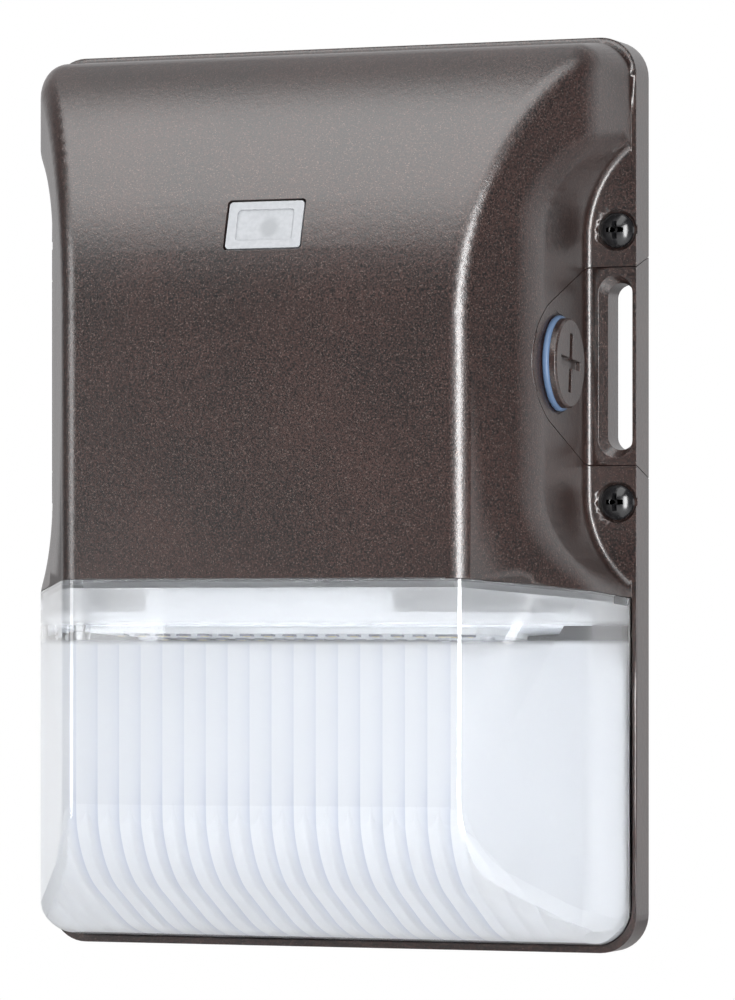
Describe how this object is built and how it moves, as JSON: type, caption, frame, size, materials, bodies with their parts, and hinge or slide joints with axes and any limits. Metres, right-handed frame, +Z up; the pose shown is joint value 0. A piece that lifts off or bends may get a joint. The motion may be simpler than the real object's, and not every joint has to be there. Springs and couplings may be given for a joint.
{
  "type": "LED wall pack light",
  "caption": "Wall-mounted LED outdoor light with a scooped die-cast cover, a clear fluted lens, a photocell window and a plugged side conduit entry.",
  "frame": {"origin": "centre of the rear face, on the wall", "axes": "+Z up along the height, +Y into the wall, so the front faces -Y, +X to the right as seen from the front"},
  "size_m": [0.168, 0.0679, 0.2414],
  "materials": {
    "bronze_casting": "dark bronze powder coat with a fine metallic fleck",
    "clear_lens": "clear polycarbonate, smooth outside and fluted inside",
    "frosted_window": "frosted polycarbonate",
    "sensor_grey": "grey sensor body",
    "white_plastic": "white moulded reflector",
    "board_white": "white solder mask",
    "led_yellow": "yellow phosphor in a white case",
    "steel": "zinc-plated steel",
    "black_screw": "gloss black coated steel",
    "silicone_blue": "pale blue silicone",
    "grey_rubber": "dark grey foam and rubber",
    "driver_can": "plain aluminium can",
    "lead_black": "black insulated wire",
    "nut_orange": "orange wire connector",
    "ground_green": "green-dyed steel"
  },
  "bodies": {
    "back_box": {"back_box": "bronze_casting", "wall_gasket": "grey_rubber", "housing_gasket": "grey_rubber", "ground_screw": "ground_green"},
    "cover": {"front_housing": "bronze_casting", "lens": "clear_lens", "lens_seal": "grey_rubber", "photocell_window": "frosted_window", "photocell_holder": "grey_rubber", "photocell": "sensor_grey", "photocell_leads": "lead_black", "led_tray": "white_plastic", "led_board": "board_white", "leds": "led_yellow", "board_screws": "steel", "reflector": "white_plastic", "reflector_screws": "steel", "driver_case": "driver_can", "driver_lid": "driver_can", "driver_screws": "steel", "led_leads": "lead_black", "shelf_grommet": "grey_rubber", "supply_leads": "lead_black", "wire_nuts": "nut_orange"},
    "seal": {"plug_seal": "silicone_blue"},
    "plug": {"conduit_plug": "bronze_casting"},
    "washer_right_upper": {"screw_washer_right_upper": "grey_rubber"},
    "screw_right_upper": {"cover_screw_right_upper": "black_screw"},
    "washer_right_lower": {"screw_washer_right_lower": "grey_rubber"},
    "screw_right_lower": {"cover_screw_right_lower": "black_screw"},
    "washer_left_upper": {"screw_washer_left_upper": "grey_rubber"},
    "screw_left_upper": {"cover_screw_left_upper": "black_screw"},
    "washer_left_lower": {"screw_washer_left_lower": "grey_rubber"},
    "screw_left_lower": {"cover_screw_left_lower": "black_screw"}
  },
  "joints": [
    {"name": "cover_lift_off", "type": "slide", "parent": "back_box", "child": "cover", "axis": [0, -1, 0], "range_m": [0, 0.08]},
    {"name": "seal_slide", "type": "slide", "parent": "back_box", "child": "seal", "axis": [1, 0, 0], "range_m": [0, 0.012]},
    {"name": "plug_turn", "type": "hinge", "parent": "seal", "child": "plug", "pos_m": [0.0705, -0.0305, 0.03395], "axis": [1, 0, 0], "range_deg": [0, 2400]},
    {"name": "washer_right_upper_slide", "type": "slide", "parent": "cover", "child": "washer_right_upper", "axis": [0, -1, 0], "range_m": [0, 0.008]},
    {"name": "screw_right_upper_turn", "type": "hinge", "parent": "washer_right_upper", "child": "screw_right_upper", "pos_m": [0.0786, -0.0103, 0.06975], "axis": [0, -1, 0], "range_deg": [0, 3650]},
    {"name": "washer_right_lower_slide", "type": "slide", "parent": "cover", "child": "washer_right_lower", "axis": [0, -1, 0], "range_m": [0, 0.008]},
    {"name": "screw_right_lower_turn", "type": "hinge", "parent": "washer_right_lower", "child": "screw_right_lower", "pos_m": [0.0786, -0.0103, -0.00185], "axis": [0, -1, 0], "range_deg": [0, 3650]},
    {"name": "washer_left_upper_slide", "type": "slide", "parent": "cover", "child": "washer_left_upper", "axis": [0, -1, 0], "range_m": [0, 0.008]},
    {"name": "screw_left_upper_turn", "type": "hinge", "parent": "washer_left_upper", "child": "screw_left_upper", "pos_m": [-0.0786, -0.0103, 0.06975], "axis": [0, -1, 0], "range_deg": [0, 3650]},
    {"name": "washer_left_lower_slide", "type": "slide", "parent": "cover", "child": "washer_left_lower", "axis": [0, -1, 0], "range_m": [0, 0.008]},
    {"name": "screw_left_lower_turn", "type": "hinge", "parent": "washer_left_lower", "child": "screw_left_lower", "pos_m": [-0.0786, -0.0103, -0.00185], "axis": [0, -1, 0], "range_deg": [0, 3650]}
  ],
  "couplings": [
    {"joint": "plug_turn", "follows": "seal_slide", "rad_per_m": 3463.2},
    {"joint": "screw_right_upper_turn", "follows": "washer_right_upper_slide", "rad_per_m": 7854},
    {"joint": "screw_right_lower_turn", "follows": "washer_right_lower_slide", "rad_per_m": 7854},
    {"joint": "screw_left_upper_turn", "follows": "washer_left_upper_slide", "rad_per_m": 7854},
    {"joint": "screw_left_lower_turn", "follows": "washer_left_lower_slide", "rad_per_m": 7854}
  ]
}
